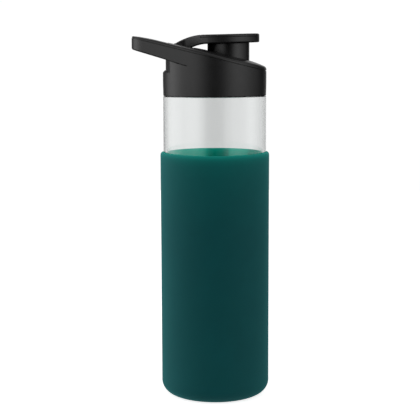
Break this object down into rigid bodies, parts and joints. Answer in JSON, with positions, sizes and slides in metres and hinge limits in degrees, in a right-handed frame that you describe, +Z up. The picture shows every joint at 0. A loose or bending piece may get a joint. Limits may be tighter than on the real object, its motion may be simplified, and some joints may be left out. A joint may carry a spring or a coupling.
{
  "type": "glass water bottle",
  "caption": "Clear glass drinking bottle in a green silicone sleeve, with a black screw lid, carry loop and flip-top spout.",
  "frame": {"origin": "centre of the flat base that the bottle stands on, on the bottle's axis", "axes": "+Z up along the bottle's axis; the carry loop reaches towards -X and the spout is offset towards +X"},
  "size_m": [0.0903, 0.072, 0.2401],
  "materials": {
    "clear_glass": "clear, polished",
    "green_silicone": "matte, fine-grained moulded silicone",
    "black_plastic": "satin moulded plastic",
    "liner_plastic": "satin moulded plastic",
    "clear_silicone": "translucent silicone",
    "cap_plastic": "satin moulded plastic",
    "cover_plastic": "satin moulded plastic",
    "grey_silicone": "matte silicone",
    "stainless_steel": "ground pin"
  },
  "bodies": {
    "bottle": {"glass_bottle": "clear_glass", "silicone_sleeve": "green_silicone"},
    "gasket": {"lid_gasket": "clear_silicone"},
    "lid": {"lid_shell": "black_plastic", "spout_liner": "liner_plastic", "hinge_pin": "stainless_steel"},
    "flip_top": {"flip_cap": "cap_plastic", "flip_cap_cover": "cover_plastic", "spout_plug": "grey_silicone"}
  },
  "joints": [
    {"name": "lid_lift", "type": "slide", "parent": "bottle", "child": "gasket", "axis": [0, 0, 1], "range_m": [0, 0.016]},
    {"name": "lid_unscrew", "type": "hinge", "parent": "gasket", "child": "lid", "pos_m": [0, 0, 0.2126], "axis": [0, 0, 1], "range_deg": [0, 720]},
    {"name": "flip_cap_hinge", "type": "hinge", "parent": "lid", "child": "flip_top", "pos_m": [-0.0245, 0, 0.2292], "axis": [0, -1, 0], "range_deg": [0, 105]}
  ],
  "couplings": [
    {"joint": "lid_lift", "follows": "lid_unscrew", "m_per_rad": 0.0012732}
  ]
}
